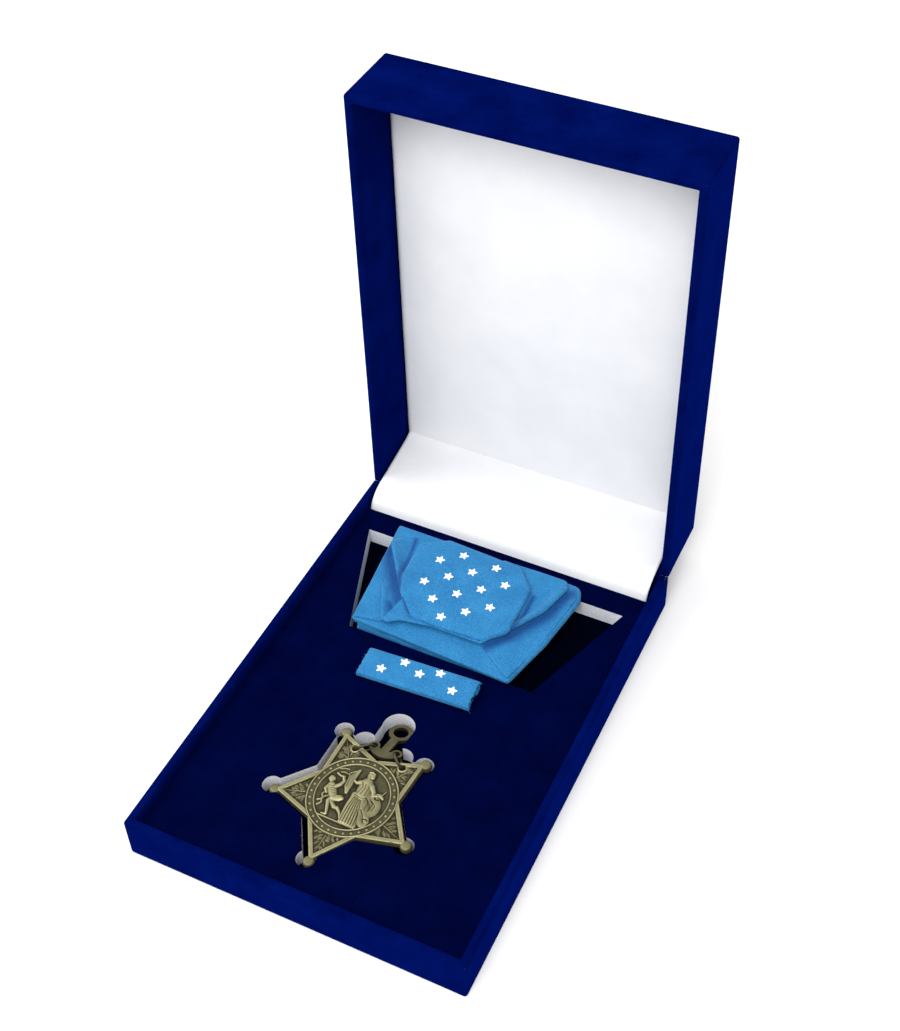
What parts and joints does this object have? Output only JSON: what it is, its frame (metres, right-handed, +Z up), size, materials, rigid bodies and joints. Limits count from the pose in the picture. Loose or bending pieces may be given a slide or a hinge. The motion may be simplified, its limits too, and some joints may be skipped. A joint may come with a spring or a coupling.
{
  "type": "cased military service medal",
  "caption": "Hinged velvet presentation case with a fitted insert holding a star-shaped medal with anchor suspender, a folded neck ribbon with star pad and a ribbon bar.",
  "frame": {"origin": "centre of the case's underside", "axes": "+Z up, +Y towards the hinge, +X to the right as seen from the front; the lid stands open at its stop"},
  "size_m": [0.102, 0.1676, 0.1575],
  "materials": {
    "case_velvet": "royal blue velvet",
    "insert_velvet": "navy velvet",
    "flocked_card": "dark navy flock",
    "foam": "white foam",
    "box_board": "rigid grey board",
    "card": "white-lined card",
    "underside_paper": "dark blue paper",
    "satin": "white satin",
    "hinge_steel": "plated steel",
    "antique_bronze": "antique bronze",
    "clasp_brass": "plain brass",
    "ribbon": "light blue moire ribbon",
    "star_thread": "white embroidery"
  },
  "bodies": {
    "base": {"underside_sheet": "underside_paper", "base_floor_board": "box_board", "base_front_board": "box_board", "base_back_board": "box_board", "base_left_board": "box_board", "base_right_board": "box_board", "base_velvet": "case_velvet", "insert_risers": "card", "insert_floor_card": "flocked_card", "insert_foam": "foam", "insert_velvet": "insert_velvet", "medal_support": "foam", "hinge_base_leaf": "hinge_steel", "hinge_pin": "hinge_steel", "satin_gusset": "satin", "spine_velvet": "case_velvet"},
    "lid": {"lid_top_board": "box_board", "lid_front_board": "box_board", "lid_back_board": "box_board", "lid_left_board": "box_board", "lid_right_board": "box_board", "lid_velvet": "case_velvet", "lid_top_velvet": "case_velvet", "lid_lining_card": "card", "lid_lining_sponge": "foam", "lid_satin": "satin", "hinge_lid_leaf": "hinge_steel"},
    "pendant": {"star_pendant": "antique_bronze"},
    "left_link": {"left_link": "antique_bronze"},
    "right_link": {"right_link": "antique_bronze"},
    "anchor": {"anchor": "antique_bronze"},
    "ribbon_bar": {"bar_plate": "clasp_brass", "bar_posts": "clasp_brass", "bar_ribbon": "ribbon", "bar_stars": "star_thread"},
    "neck_ribbon": {"neckband_left_tail": "ribbon", "neckband_right_tail": "ribbon", "neckband_middle_fold": "ribbon", "neckband_upper_fold": "ribbon", "neckband_left_wing": "ribbon", "neckband_right_wing": "ribbon", "pad_backing": "card", "pad_core": "foam", "pad_cover": "ribbon", "pad_stars": "star_thread", "hanger_loop": "clasp_brass", "snap_socket": "clasp_brass", "snap_stud": "clasp_brass"}
  },
  "joints": [
    {"name": "lid_hinge", "type": "hinge", "parent": "base", "child": "lid", "pos_m": [0, 0.07065, 0.0146], "axis": [1, 0, 0], "range_deg": [0, 90], "deforming": ["satin_gusset", "spine_velvet"]},
    {"name": "pendant_lift", "type": "slide", "parent": "base", "child": "pendant", "axis": [0, 0, 1], "range_m": [0, 0.012]},
    {"name": "left_link_turn", "type": "hinge", "parent": "pendant", "child": "left_link", "pos_m": [-0.0047, -0.02154, 0.01056], "axis": [0.5885, -0.741, -0.3232], "continuous": true},
    {"name": "right_link_turn", "type": "hinge", "parent": "pendant", "child": "right_link", "pos_m": [0.00656, -0.02218, 0.01121], "axis": [0.6276, 0.6714, 0.3941], "continuous": true},
    {"name": "anchor_swing", "type": "hinge", "parent": "pendant", "child": "anchor", "pos_m": [0.00103, -0.02012, 0.01093], "axis": [0.9967, -0.057, 0.058], "range_deg": [0, 60]},
    {"name": "bar_lift", "type": "slide", "parent": "base", "child": "ribbon_bar", "axis": [0, 0, 1], "range_m": [0, 0.012]},
    {"name": "neck_ribbon_lift", "type": "slide", "parent": "base", "child": "neck_ribbon", "axis": [0, 0, 1], "range_m": [0, 0.012]}
  ]
}
